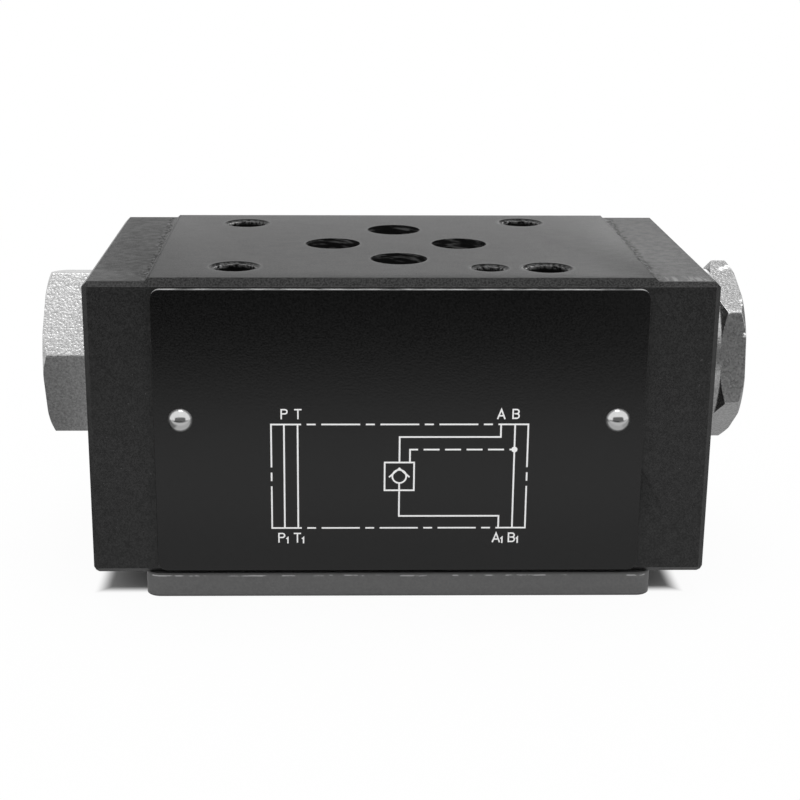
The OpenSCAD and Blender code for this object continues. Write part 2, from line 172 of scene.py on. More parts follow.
def joined(shapes):
    """Several prints, each its points and its faces, as one; each lies a hair higher than the last."""
    points, faces, count = [], [], 0
    for layer, (more_points, more_faces) in enumerate(shapes):
        points.append(more_points - np.array([0, layer * INK_LAYER, 0]))
        faces += [[corner + count for corner in face] for face in more_faces]
        count += len(more_points)
    return np.concatenate(points), faces


def drawn(corners, step):
    """A line through corners: each corner is rounded by a parabola between two points cut off it,
    and no two points of the straight stretches lie further apart than step."""
    corners = np.array(corners, float)
    bend = np.linspace(0, 1, BEND_STEPS)[:, None]
    points = [corners[:1]]
    for before, corner, after in zip(corners, corners[1:], corners[2:]):
        to_before, to_after = before - corner, after - corner
        length_before, length_after = np.linalg.norm(to_before), np.linalg.norm(to_after)
        reach = min(EDGE_CUT, BEND_SHARE * length_before, BEND_SHARE * length_after)
        start = corner + to_before * reach / length_before
        end = corner + to_after * reach / length_after
        points.append((1 - bend) ** 2 * start + 2 * bend * (1 - bend) * corner + bend ** 2 * end)
    line = np.concatenate(points + [corners[-1:]])
    pieces = [line[:1]]
    for start, end in zip(line, line[1:]):
        count = max(1, math.ceil(np.linalg.norm(end - start) / step))
        share = np.arange(1, count + 1)[:, None] / count
        pieces.append(start + share * (end - start))
    return np.concatenate(pieces)


def soft_min(first, second, blend):
    """The lesser of two arrays, rounded where they cross: it lies below the lesser
    by the square of (blend - gap) over four blends while the gap is under blend."""
    near = np.maximum(blend - np.abs(first - second), 0)
    return np.minimum(first, second) - near ** 2 / (4 * blend)


def turned(profile, centre, axis, front, side, steps, first=0, limit=None):
    """A profile of radii and stations carried round an axis from a first angle:
    centre + station * axis + radius * (front * cos a + side * sin a).
    Where limit is given, the radius is the soft minimum of the profile's and limit(a, station)."""
    angle = first + np.linspace(0, 2 * math.pi, steps, endpoint=False)[None, :]
    radius = np.repeat(profile[:, :1], steps, axis=1)
    if limit is not None:
        radius = soft_min(radius, limit(angle, profile[:, 1:]), HEX_ROUNDING)
    across = np.cos(angle)[..., None] * np.array(front) + np.sin(angle)[..., None] * np.array(side)
    along = profile[:, 1, None, None] * np.array(axis)
    points = np.array(centre) + along + radius[..., None] * across
    return points.reshape(-1, 3), grid_faces(len(profile), steps, True)


def hexagon_limit(corner, low, high):
    """Reach of a hexagon at an angle, between two stations: half its width across flats over the
    cosine of the angle from the middle of the nearest flat, with its corners rounded."""
    side = 2 * math.pi / HEX_SIDES
    corner_r = HEX_FLATS / 2 / math.cos(side / 2)

    def limit(angle, station):
        from_middle = (angle - corner) % side - side / 2
        flat_reach = HEX_FLATS / 2 / np.cos(from_middle)
        reach = soft_min(flat_reach, corner_r - HEX_ROUNDING / 2, HEX_ROUNDING)
        return np.where((station >= low) & (station <= high), reach, 2 * corner_r)

    return limit


def ribbon(path, width, closed=False):
    """A line of print on the nameplate: the points of the path carry a low trapezium,
    turned along the mitre where two stretches meet."""
    path = np.array(path, float)
    ahead = np.roll(path, -1, axis=0) - path
    ahead /= np.linalg.norm(ahead, axis=1)[:, None]
    behind = np.roll(ahead, 1, axis=0)
    if not closed:
        ahead[-1] = behind[-1]
        behind[0] = ahead[0]
    left_ahead = np.stack([-ahead[:, 1], ahead[:, 0]], axis=1)
    left_behind = np.stack([-behind[:, 1], behind[:, 0]], axis=1)
    mitre = (left_ahead + left_behind) / (1 + np.sum(left_ahead * left_behind, axis=1))[:, None]
    offsets = np.array([-width / 2, INK_EDGE - width / 2, width / 2 - INK_EDGE, width / 2])
    heights = np.array([-INK_SUNK, INK_HEIGHT, INK_HEIGHT, -INK_SUNK])
    flat = path[:, None, :] + offsets[None, :, None] * mitre[:, None, :]
    rise = label_front - np.broadcast_to(heights, flat.shape[:2])
    points = np.stack([flat[..., 0], rise, flat[..., 1]], axis=-1)
    corners = len(offsets)
    if closed:
        points = np.concatenate([points, points[:1]])
        return points.reshape(-1, 3), grid_faces(len(points), corners, True)
    return points.reshape(-1, 3), tube_faces(len(points), corners)


def arc(centre, radius, start, end, steps):
    """Points of a circle's arc between two angles in degrees."""
    angle = np.radians(np.linspace(start, end, steps))
    return np.stack([centre[0] + radius * np.cos(angle), centre[1] + radius * np.sin(angle)], axis=1)


def ink_dot(centre, radius):
    """A round dot of print: a low turned profile that faces the front."""
    profile = np.array([
        [0, INK_HEIGHT], [radius - INK_EDGE, INK_HEIGHT], [radius, -INK_SUNK], [0, -INK_SUNK],
    ])
    return turned(profile, [centre[0], label_front, centre[1]], steps=DOT_STEPS, **FACING_FRONT)


# Pieces

def piece(name, shape, finish, body="housing", sharp=SHARP_ANGLE):
    """A new piece in the scene: its points are merged, its faces turned outwards and shaded smooth
    up to an angle in degrees."""
    points, faces = shape
    mesh = bpy.data.meshes.new(name)
    mesh.from_pydata((points * MM).tolist(), [], faces)
    work = bmesh.new()
    work.from_mesh(mesh)
    bmesh.ops.remove_doubles(work, verts=work.verts, dist=MERGE)
    bmesh.ops.recalc_face_normals(work, faces=work.faces)
    work.to_mesh(mesh)
    work.free()
    return placed(name, mesh, finish, body, sharp)


def placed(name, mesh, finish, body, sharp):
    """An object for a mesh, with its finish and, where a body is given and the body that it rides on
   ."""
    mesh.polygons.foreach_set("use_smooth", np.ones(len(mesh.polygons), bool))
    mesh.set_sharp_from_angle(angle=math.radians(sharp))
    mesh.materials.clear()
    mesh.materials.append(finish)
    thing = bpy.data.objects.new(name, mesh)
    bpy.context.scene.collection.objects.link(thing)
    if body:
        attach(thing, body)
    return thing


def softened(node, finish, width):
    """A merged copy of a solid, with a small bevel on its edges, that stands for the solid."""
    work = bmesh.new()
    work.from_mesh(frame["nodes"][node].data)
    bmesh.ops.remove_doubles(work, verts=work.verts, dist=MERGE)
    bmesh.ops.dissolve_limit(
        work, angle_limit=math.radians(FLAT_ANGLE), verts=work.verts, edges=work.edges
    )
    mesh = bpy.data.meshes.new(node + "_skin")
    work.to_mesh(mesh)
    work.free()
    thing = placed(node + "_skin", mesh, finish, "housing", EDGE_ANGLE)
    bevel = thing.modifiers.new("edges", "BEVEL")
    bevel.width = width * MM
    bevel.segments = BEVEL_SEGMENTS
    bevel.limit_method = "ANGLE"
    bevel.angle_limit = math.radians(EDGE_ANGLE)
    bevel.harden_normals = True
    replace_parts(thing, node)


# Finishes

class Wire:
    """An output of a shader node. Arithmetic on wires adds Math nodes, and node() adds any other."""

    def __init__(self, tree, socket=None):
        self.tree = tree
        self.socket = socket

    def node(self, kind, settings=None, inputs=None, output=0):
        """Add a node: its settings are set first, then its sockets take numbers, colours or wires."""
        made = self.tree.nodes.new(kind)
        for name, value in (settings or {}).items():
            setattr(made, name, value)
        for name, value in (inputs or {}).items():
            if isinstance(value, Wire):
                self.tree.links.new(value.socket, made.inputs[name])
            else:
                made.inputs[name].default_value = value
        return Wire(self.tree, made.outputs[output] if made.outputs else None)

    def math(self, operation, *values):
        """A Math node on these values."""
        return self.node("ShaderNodeMath", {"operation": operation}, dict(enumerate(values)))

    def __add__(self, other):
        return self.math("ADD", self, other)

    def __sub__(self, other):
        return self.math("SUBTRACT", self, other)

    def __rsub__(self, other):
        return self.math("SUBTRACT", other, self)

    def __mul__(self, other):
        return self.math("MULTIPLY", self, other)

    def __abs__(self):
        return self.math("ABSOLUTE", self)

    __radd__ = __add__
    __rmul__ = __mul__

    def rise(self, low, high):
        """0 below low and 1 above high, or the reverse, with a smooth step between them."""
        return self.node(
            "ShaderNodeMapRange", {"interpolation_type": "SMOOTHSTEP"},
            {"Value": self, "From Min": low, "From Max": high},
        )

    def between(self, low, high):
        """A mix of two numbers or wires, with this wire as its factor."""
        return low + self * (high - low)


class Finish:
    """A material with one Principled shader, and the object's coordinates in millimetres."""

    def __init__(self, name, **constants):
        self.material = bpy.data.materials.new(name)
        self.material.use_nodes = True
        self.tree = self.material.node_tree
        self.shader = self.tree.nodes["Principled BSDF"]
        for socket, value in constants.items():
            self.set(socket.replace("_", " "), value)
        place = Wire(self.tree).node("ShaderNodeTexCoord", output="Object")
        self.place = place.node(
            "ShaderNodeVectorMath", {"operation": "SCALE"}, {0: place, "Scale": 1 / MM})
        self.x, self.y, self.z = (
            place.node("ShaderNodeSeparateXYZ", inputs={0: self.place}, output=axis) for axis in "XYZ"
        )

    def set(self, socket, value):
        """Give the shader a constant or a wire."""
        if isinstance(value, Wire):
            self.tree.links.new(value.socket, self.shader.inputs[socket])
        else:
            self.shader.inputs[socket].default_value = value

    def noise(self, size, detail, stretch=None, turn=(0, 0, 0), roughness=0.5):
        """Cloudy values about 0.5, with lumps of a size in millimetres; a stretch below 1 draws them
        out along an axis, which a turn in radians tilts."""
        place = self.place
        if stretch:
            place = place.node(
                "ShaderNodeMapping", {"vector_type": "TEXTURE"}, {"Vector": place, "Rotation": turn})
            place = place.node(
                "ShaderNodeVectorMath", {"operation": "MULTIPLY"}, {0: place, 1: stretch})
        return place.node(
            "ShaderNodeTexNoise", None,
            {"Vector": place, "Scale": 1 / size, "Detail": detail, "Roughness": roughness},
        )

    def bump(self, height, distance):
        """Tilt the normals by a height, in units of a distance in millimetres."""
        self.set("Normal", height.node(
            "ShaderNodeBump", None, {"Height": height, "Distance": distance * MM, "Strength": 1},
        ))


def axis_distance(first, second):
    """Distance of a point from an axis, from its offsets along the two directions across it."""
    return first.math("SQRT", first * first + second * second)


def lesser(first, second):
    """The lesser of two wires."""
    return first.math("MINIMUM", first, second)


def greater(first, second):
    """The greater of two wires."""
    return first.math("MAXIMUM", first, second)


# Range that most of a noise's values fill
SPREAD = (0.3, 0.7)

# Greys of the finishes, from the dark to the light end of their grain
GREY = {
    "iron": (0.01, 0.032),
    "end": (0.026, 0.082),
    "torn": (0.004, 0.17),
    "chamfer": (0.002, 0.064),
    "pad_step_edge_shade": (0.004, 0.03),
    "countersink": (0.015, 0.16),
    "drill_marks_and_painted_light": (0.3, 0.85),
    "bore": (0.01, 0.17),
    "plate": (0.107, 0.127),
    "label": (0.002, 0.0047),
    "label_cut": (0.093, 0.47),
    "ink": (0.88, 0.98),
    "zinc": (0.41, 0.61),
    "rubber": (0.012, 0.022),
}
ROUGHNESS = {
    "iron": (0.46, 0.56),
    "plate": (0.38, 0.5),
    "label": (0.19, 0.25),
    "ink": (0.4, 0.55),
    "zinc": (0.2, 0.4),
    "rubber": (0.5, 0.65),
}

# What the iron's greys are multiplied by, and greys that are added to them or laid over them
IRON_TONE = 0.667
IRON_MOTTLE = (0.92, 1.08)
SPECK = 0.05
PAD_GREY = 0.017
PAD_BRUSHED = 0.028
PAD_GRAIN = 0.006
PAD_CLOUD = 0.008
# painted light: the pad is painted lighter towards the back and towards the right
PAD_PAINTED_LIGHT_BACK = 0.022
PAD_PAINTED_LIGHT_RIGHT = 0.012
END_GRAIN = 0.02
# painted light: the end zones are painted lighter towards the right
END_PAINTED_LIGHT_RIGHT = 0.02
CHAMFER_ENDS = 0.015
CUTTER_GREY = 0.03
RUBBED_GREY = 0.14
# painted highlight: a lighter ring round the drilled holes and the ports, where their edges catch light
RIM_HIGHLIGHT_GREY = 0.035
# painted shade: a dark dashed line along the torn step, on the pad's side
STEP_SHADE_GREY = 0.002
# painted shade: a dark ring just outside each countersink, so that it reads wider
LIP_PAINTED_SHADE = 0.003
# painted shade: the walls of the drilled holes are painted black below their mouths
DEEP_HOLE_SHADE = 0.003

# Iron's change of roughness, its film of oil, and heights in units of its bump
PAD_SMOOTHER = 0.1
TORN_ROUGHER = 0.15
OIL_FILM = (0.5, 0.6)
GRAIN_HEIGHT = 0.5
FINE_HEIGHT = 0.35
TORN_HEIGHT = 4
DRILL_HEIGHT = 3
RIM_HEIGHT = 12
IRON_BUMP = 0.02

# Torn step between the pad and the end zones, and the mark of a cutter at the front left corner
TORN_OUT = 0.6
TORN_WANDER = 2.4
TORN_LEAN = 0.6
CUTTER_OUT = 0.3
CUTTER_WANDER = 0.2


def top_zones(finish):
    """Masks of the iron's top face: the milled pad, the end zones beyond a torn step, the chamfers."""
    x, y = finish.x, finish.y
    side_x = abs(x)
    depth = body_high[2] - finish.z
    top = depth.rise(PAD_STEP + 0.25, PAD_STEP + 0.1)
    chamfer = (abs(y) - (body_high[1] - TOP_CHAMFER)).rise(0.02, 0.1)
    chamfer = chamfer * depth.rise(TOP_CHAMFER, TOP_CHAMFER - 0.08)
    flat = top * (1 - chamfer)
    wander = (finish.noise(1.4, 4) - 0.5) * TORN_WANDER + y.rise(-10, 24) * TORN_LEAN
    torn_place = side_x - (PAD_HALF + TORN_OUT) - wander
    end = flat * torn_place.rise(-0.1, 0.15)
    # painted shade along the torn step, on the pad's side
    step_shade_line = flat * abs(torn_place + 0.25).rise(0.24, 0.1)
    corner = axis_distance(x - (body_low[0] - CUTTER_OUT), y - (body_low[1] - CUTTER_OUT))
    rubbed = end * x.rise(33, 34) * (y - body_low[1]).rise(4.5, 2.5)
    return SimpleNamespace(
        depth=depth,
        top=top,
        chamfer=chamfer,
        flat=flat,
        end=end,
        pad=flat * (1 - end),
        # painted shade along the edge of the pad's step: dark on the left, mid grey on the right, over
        # the bevel's highlight
        pad_step_edge_shade=flat * abs(side_x - PAD_HALF).rise(0.28, 0.12),
        torn=flat * abs(torn_place).rise(0.75, 0.1),
        step_shade_line=step_shade_line * finish.noise(0.8, 2).rise(0.4, 0.52),
        cutter=end * (corner + wander * CUTTER_WANDER).rise(8.5, 8.1),
        rubbed=rubbed * finish.noise(0.45, 2, (1, 0.12, 1)).rise(0.45, 0.6),
    )


def hole_zones(finish, zones):
    """Masks in and round the iron's holes: drilled ones for bolts and the pin, and bored ports."""
    x, y = finish.x, finish.y
    side_x, side_y = abs(x), abs(y)
    bolt_a, bolt_b = mount_place("bolts_a_side"), mount_place("bolts_b_side")
    half_a = mount_size("bolts_a_side", "spacing_y_mm") / 2
    half_b = mount_size("bolts_b_side", "spacing_y_mm") / 2
    pin, port_t, port_b = (
        mount_place(name) for name in ("locating_pin_hole", "port_t", "port_b_upper"))
    bolts = lesser(
        axis_distance(x - bolt_a[0], side_y - half_a),
        axis_distance(x - bolt_b[0], side_y - half_b),
    ) - mount_size("bolts_a_side", "hole_r_mm")
    from_pin = axis_distance(x - pin[0], y - pin[1]) - mount_size("locating_pin_hole", "r_mm")
    drilled = lesser(bolts, from_pin)
    bored = lesser(
        axis_distance(x - port_t[0], side_y - port_t[1]),
        axis_distance(side_x - port_b[0], y),
    ) - mount_size("port_p", "r_mm")
    # painted highlight round the mouths of the drilled holes and of the ports
    drilled_rim_highlight = drilled.rise(0.54, 0.64) * drilled.rise(1.1, 0.74)
    bored_rim_highlight = bored.rise(0.02, 0.1) * bored.rise(0.5, 0.2)
    # painted light: each bolt hole's wall is painted lighter on its left side
    left_of_bolt = (x - x.rise(-1, 1).between(bolt_a[0], bolt_b[0])).rise(-0.9, -2.1)
    return SimpleNamespace(
        countersink=zones.top * drilled.rise(0.4, 0.36),
        # painted shade: the lip is a dark ring outside the countersink
        lip=zones.top * drilled.rise(0.26, 0.32) * drilled.rise(0.6, 0.54),
        rim_highlight=zones.flat * (drilled_rim_highlight + bored_rim_highlight),
        rim=drilled.rise(0.1, 0.66),
        lit_side=left_of_bolt * bolts.rise(0.6, 0.5),
        drill_wall=drilled.rise(0.12, 0.06) * zones.depth.rise(0.2, 0.3),
        # real drill marks, with painted shade: they fade out with depth below the mouth
        drill_marks_and_painted_light=finish.noise(0.4, 3).rise(0.36, 0.66) * zones.depth.rise(0.85, 0.35),
        port_wall=bored.rise(0.12, 0.06),
        bore_mark=finish.noise(0.4, 3, (0.13, 0.13, 1), (0, 0.1, 0)).rise(0.5, 0.7),
    )


def iron_finish():
    """Black phosphated iron: milled pad, torn step, end zones, mottled chamfers and drilled holes."""
    finish = Finish("black_phosphated_iron", Specular_IOR_Level=0.155, Coat_Roughness=0.32)
    x, y = finish.x, finish.y
    zones = top_zones(finish)
    holes = hole_zones(finish, zones)
    grain = finish.noise(0.22, 3).rise(*SPREAD)
    patch = finish.noise(1.1, 4).rise(*SPREAD)
    brushed = finish.noise(0.7, 5, (0.35, 1, 1), roughness=0.65).rise(*SPREAD)
    tear = finish.noise(0.55, 3)
    speck = finish.noise(0.5, 1).rise(0.76, 0.8)

    shade = grain.between(*GREY["iron"]) * patch.between(*IRON_MOTTLE) + speck * SPECK
    pad = PAD_GREY + brushed * PAD_BRUSHED + grain * PAD_GRAIN + finish.noise(5, 3) * PAD_CLOUD
    # painted light towards the back and the right of the pad
    pad = pad + y.rise(-5, 22) * PAD_PAINTED_LIGHT_BACK + x.rise(-32, 0) * PAD_PAINTED_LIGHT_RIGHT
    end = patch.between(*GREY["end"]) + grain * END_GRAIN + x.rise(0, 35) * END_PAINTED_LIGHT_RIGHT
    shade = zones.end.between(zones.flat.between(shade, pad), end)
    shade = shade + zones.cutter * CUTTER_GREY + zones.rubbed * RUBBED_GREY + holes.rim_highlight * RIM_HIGHLIGHT_GREY
    # painted light on the left side of the drilled walls
    drill_marks_and_painted_light = holes.lit_side.between(*GREY["drill_marks_and_painted_light"])
    for mask, grey in (
        (zones.torn, tear.rise(0.34, 0.62).between(*GREY["torn"])),
        (zones.chamfer, grain.between(*GREY["chamfer"]) + abs(x).rise(32, 33) * CHAMFER_ENDS),
        # painted shade over the bevel of the pad's step
        (zones.pad_step_edge_shade, x.rise(-1, 1).between(*GREY["pad_step_edge_shade"])),
        (zones.step_shade_line, STEP_SHADE_GREY),
        (holes.countersink, tear.rise(0.36, 0.64).between(*GREY["countersink"])),
        (holes.lip, LIP_PAINTED_SHADE),
        (holes.drill_wall, holes.drill_marks_and_painted_light.between(DEEP_HOLE_SHADE, drill_marks_and_painted_light)),
        (holes.port_wall, holes.bore_mark.between(*GREY["bore"])),
    ):
        shade = mask.between(shade, grey)
    finish.set("Base Color", shade * IRON_TONE)

    rough = grain.between(*ROUGHNESS["iron"]) - zones.pad * PAD_SMOOTHER + zones.torn * TORN_ROUGHER
    finish.set("Roughness", rough)
    oiled = (1 - zones.top) * (1 - zones.chamfer) * (1 - holes.drill_wall) * (1 - holes.port_wall)
    finish.set("Coat Weight", oiled * patch.between(*OIL_FILM))
    height = grain * GRAIN_HEIGHT + finish.noise(0.12, 2) * FINE_HEIGHT
    height = height + zones.torn * tear * TORN_HEIGHT
    height = height + holes.drill_wall * holes.drill_marks_and_painted_light * DRILL_HEIGHT + holes.rim * RIM_HEIGHT
    finish.bump(height, IRON_BUMP)
    return finish.material


# Bare dashes on the seal plate, and painted shade along its foot and along its upper edge under the body
DASH_BELOW = 0.4
DASH_WANDER = 0.25
DASH_GREY = 0.27
PLATE_PAINTED_SHADE = 0.5
SMOOTH_BUMP = 0.004


def plate_finish():
    """Smooth grey steel with bare dashes below its upper edge."""
    finish = Finish("grey_steel_plate", Specular_IOR_Level=0.5)
    fine = finish.noise(0.3, 3).rise(*SPREAD)
    below = plate_high[2] - finish.z
    line = abs(below - DASH_BELOW - (finish.noise(6, 2) - 0.5) * DASH_WANDER)
    dash = line.rise(0.12, 0.04) * finish.noise(0.9, 3, (0.4, 1, 1)).rise(0.5, 0.58)
    # painted shade: the plate is painted darker along the floor and under the body's edge
    foot = finish.z.rise(0.35, 0.1) + below.rise(0.4, 0.1)
    shade = fine.between(*GREY["plate"]) * (1 - foot * PLATE_PAINTED_SHADE)
    finish.set("Base Color", shade + dash * DASH_GREY)
    finish.set("Roughness", fine.between(*ROUGHNESS["plate"]))
    finish.bump(fine, SMOOTH_BUMP)
    return finish.material


LABEL_CUT_ROUGHNESS = 0.5


def label_finish():
    """Satin black print on aluminium: the cut edges are bare metal."""
    finish = Finish("black_print_on_aluminium", Specular_IOR_Level=0.5)
    bare = finish.y.rise(label_front + 0.06, label_front + 0.12)
    fine = finish.noise(0.25, 3).rise(*SPREAD)
    cut = finish.noise(0.6, 3, (0.3, 1, 1)).rise(0.3, 0.62)
    black, metal = fine.between(*GREY["label"]), cut.between(*GREY["label_cut"])
    finish.set("Base Color", bare.between(black, metal))
    finish.set("Roughness", bare.between(fine.between(*ROUGHNESS["label"]), LABEL_CUT_ROUGHNESS))
    finish.bump(fine, SMOOTH_BUMP)
    return finish.material


def ink_finish():
    """White screen print, slightly uneven."""
    finish = Finish("white_print", Specular_IOR_Level=0.4)
    finish.set("Base Color", finish.noise(0.4, 3).between(*GREY["ink"]))
    finish.set("Roughness", finish.noise(0.2, 2).between(*ROUGHNESS["ink"]))
    return finish.material


# Zinc: nicks, each its place and its radius, heights above the axis from which the flats are coarse,
# and how coarse, on the check plug and the pilot plug
ZINC_NICKS = (
    ((45.6, -0.26, 39.46), 0.7), ((46.4, 0.1, 39.65), 0.7),
    ((44.65, -10.04, 35.48), 0.35), ((46.9, -10.37, 32.43), 0.4),
    ((46.9, -7.34, 36.58), 0.35), ((46.9, -8.3, 36.2), 0.35), ((46.8, -9.6, 35.65), 0.35),
)
UPPER_FROM = (2, 7.8)
UPPER_COARSE = (1.1, 0.75)
LOWER_COARSE = 0.35
# painted shade: the upper flats of the check plug are painted a little darker
CHECK_UPPER_PAINTED_SHADE = 0.03
ZINC_CLOUD = (-0.03, 0.03)
NICK_GREY = 0.95
NICK_ROUGHNESS = 0.15
NICK_HEIGHT = 1.6
RING_TURNS = 9
RING_HEIGHT = 0.12
RING_SMOOTHER = 0.7
ZINC_BUMP = 0.09


def zinc_finish():
    """Grainy zinc on steel: crystals that are coarsest on the upper flats, turned rings on the end
    faces, and a few nicks at the corners of the pilot plug's hexagon."""
    finish = Finish("grainy_zinc", Metallic=1.0)
    x, up = finish.x, finish.z - axis_z
    right, left = x.rise(-1, 1), x.rise(1, -1)
    grain = finish.noise(0.3, 3)
    upper = (up - right.between(*UPPER_FROM)).rise(-0.2, 0.2)
    collar_end = body_high[0] + COLLAR_HEIGHT
    collar = x.rise(body_high[0], body_high[0] + 0.1) * x.rise(collar_end + 0.1, collar_end)
    coarse = (upper * (1 - collar)).between(LOWER_COARSE, right.between(*UPPER_COARSE))
    dome = upper * 0
    for place, size in ZINC_NICKS:
        away = finish.place.node(
            "ShaderNodeVectorMath", {"operation": "DISTANCE"}, {0: finish.place, 1: place}, "Value")
        dome = greater(dome, away.rise(size, 0))
    nick = dome.rise(0.1, 0.4)
    pilot_face = x.rise(pilot_high[0] - 0.05, pilot_high[0] - 0.02)
    check_face = x.rise(check_low[0] + 0.05, check_low[0] + 0.02)
    end_face = pilot_face + check_face
    turn = axis_distance(finish.y, up) * RING_TURNS
    ring = end_face * turn.math("SINE", turn)
    shade = grain.rise(*SPREAD).between(*GREY["zinc"]) + finish.noise(3, 3).between(*ZINC_CLOUD)
    # painted shade on the check plug's upper flats
    finish.set("Base Color", nick.between(shade - upper * left * CHECK_UPPER_PAINTED_SHADE, NICK_GREY))
    finish.set("Roughness", nick.between(grain.between(*ROUGHNESS["zinc"]), NICK_ROUGHNESS))
    crystals = grain * coarse * (1 - end_face * RING_SMOOTHER) * (1 - nick)
    finish.bump(crystals + ring * RING_HEIGHT + dome * NICK_HEIGHT, ZINC_BUMP)
    return finish.material


STEEL_ROUGHNESS_SPREAD = 0.06


def steel_finish(name, low, high, rough):
    """Ground steel with fine streaks."""
    finish = Finish(name, Metallic=1.0)
    streak = finish.noise(0.3, 3, (0.1, 1, 1))
    finish.set("Base Color", streak.between(low, high))
    finish.set("Roughness", streak.between(
        rough - STEEL_ROUGHNESS_SPREAD, rough + STEEL_ROUGHNESS_SPREAD))
    finish.bump(streak, SMOOTH_BUMP)
    return finish.material


RUBBER_BUMP = 0.01


def rubber_finish():
    """Black nitrile rubber."""
    finish = Finish("nitrile_rubber", Specular_IOR_Level=0.4)
    fine = finish.noise(0.2, 3)
    finish.set("Base Color", fine.between(*GREY["rubber"]))
    finish.set("Roughness", fine.between(*ROUGHNESS["rubber"]))
    finish.bump(fine, RUBBER_BUMP)
    return finish.material


white_ink = ink_finish()
FINISHES = {
    "black_iron": iron_finish(),
    "grey_steel": plate_finish(),
    "zinc_steel": zinc_finish(),
    "bright_steel": steel_finish("ground_steel", low=0.42, high=0.55, rough=0.3),
    "rivet_metal": steel_finish("plated_rivet", low=0.62, high=0.7, rough=0.16),
    "black_anodised": label_finish(),
    "rubber": rubber_finish(),
}
for part in frame["record"]["subparts"]:
    for slot in frame["nodes"][part["node"]].material_slots:
        slot.material = FINISHES[part["material_slot"]]


# Body, seal plate and nameplate

for node, slot, width in (
    ("valve_body", "black_iron", BODY_BEVEL),
    ("seal_plate", "grey_steel", PLATE_BEVEL),
    ("nameplate", "black_anodised", LABEL_BEVEL),
):
    softened(node, FINISHES[slot], width)


# Plugs and rivets

HEX_FACE_R = HEX_FLATS / 2 + HEX_FACE_REACH
HEX_TURN_R = HEX_FLATS / 2 / math.cos(math.pi / HEX_SIDES) + HEX_FACE_REACH
HEX_CHAMFER = (HEX_TURN_R - HEX_FACE_R) * math.tan(HEX_CHAMFER_ANGLE)
SHANK_R = THREAD_R - SEAT_GAP


def plug(profile, corner, low, high):
    """A plug turned about the bore, with a hexagon between two stations."""
    return turned(
        profile, [0, 0, axis_z], steps=PLUG_STEPS, first=corner,
        limit=hexagon_limit(corner, low, high), **ALONG_BORE)


def check_plug():
    """The plug on the check side: hexagon head, neck, shank and the blind guide of the poppet."""
    face, seat, end = check_low[0], body_low[0], check_high[0]
    inner = HEX_FACE_R - HEX_FACE_RIM
    mouth = seat + MOUTH_DEPTH
    head_end = face + HEX_CHAMFER + HEX_FACE_RIM
    profile = np.concatenate([
        drawn([[0, face], [inner, face]], COARSE),
        drawn([
            [inner, face], [HEX_FACE_R, face], [HEX_TURN_R, face + HEX_CHAMFER],
            [HEX_TURN_R, head_end],
        ], FINE)[1:],
        drawn([
            [HEX_TURN_R, head_end], [HEX_TURN_R, seat], [NECK_R, seat], [NECK_R, mouth],
            [SHANK_R, mouth], [SHANK_R, end], [GUIDE_R, end], [GUIDE_R, GUIDE_END], [0, GUIDE_END],
        ], COARSE)[1:],
    ])
    return plug(profile, CHECK_CORNER, face, seat)


def pilot_plug():
    """The plug on the pilot side: thin hexagon that grows out of a round collar on a cone, neck,
    shank and the stop for the piston."""
    face, seat, stop = pilot_high[0], body_high[0], pilot_low[0]
    inner = HEX_FACE_R - HEX_FACE_RIM
    mouth = seat - MOUTH_DEPTH
    collar = seat + COLLAR_HEIGHT
    cone_r = COLLAR_R - COLLAR_RIM
    cone = (HEX_TURN_R - cone_r) * math.tan(HEX_CHAMFER_ANGLE)
    thread_end = seat - PILOT_THREAD_LENGTH
    profile = np.concatenate([
        drawn([[0, face], [inner, face]], COARSE),
        drawn([
            [inner, face], [HEX_FACE_R, face], [HEX_TURN_R, face - HEX_CHAMFER],
            [HEX_TURN_R, collar + cone], [cone_r, collar],
        ], FINE)[1:],
        drawn([
            [COLLAR_R, collar - COLLAR_RIM], [COLLAR_R, seat], [NECK_R, seat], [NECK_R, mouth],
            [SHANK_R, mouth], [SHANK_R, thread_end], [STEM_R, thread_end], [STEM_R, stop], [0, stop],
        ], COARSE),
    ])
    return plug(profile, PILOT_CORNER, collar, face)


def rivet(node):
    """A drive rivet: a spherical head on the nameplate and a plain shank behind it."""
    low, high = span(node)
    head_r = (high[0] - low[0]) / 2
    dome_r = (head_r ** 2 + RIVET_DOME ** 2) / (2 * RIVET_DOME)
    lean = np.linspace(0, math.asin(head_r / dome_r), DOME_STEPS)
    dome = np.stack([dome_r * np.sin(lean), RIVET_DOME - dome_r * (1 - np.cos(lean))], axis=1)
    shank_end = label_front - high[1]
    shank = [[RIVET_SHANK_R, 0], [RIVET_SHANK_R, shank_end], [0, shank_end]]
    centre = [(low[0] + high[0]) / 2, label_front, (low[2] + high[2]) / 2]
    return turned(np.concatenate([dome, shank]), centre, steps=RIVET_STEPS, **FACING_FRONT)


zinc, rivet_metal = FINISHES["zinc_steel"], FINISHES["rivet_metal"]
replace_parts(piece("check_plug_zinc", check_plug(), zinc), "check_plug")
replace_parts(piece("pilot_plug_zinc", pilot_plug(), zinc), "pilot_plug")
for side in ("left", "right"):
    node = "rivet_" + side
    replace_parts(piece(node + "_head", rivet(node), rivet_metal), node)


# Check spring, drawn in two stretches

SPRING_TURNS = 8
SPRING_SPLIT = 3.5
SPRING_WIRE = 0.9
SPRING_STEPS = 40
SPRING_SIDES = 12


def spring_station(turn):
    """Place of the wire's middle along the bore after a number of turns: the end turns lie closed."""
    start, end = spring_low[0] + SPRING_WIRE / 2, spring_high[0] - SPRING_WIRE / 2
    turns = [0, 1, SPRING_TURNS - 1, SPRING_TURNS]
    return np.interp(turn, turns, [start, start + SPRING_WIRE, end - SPRING_WIRE, end])


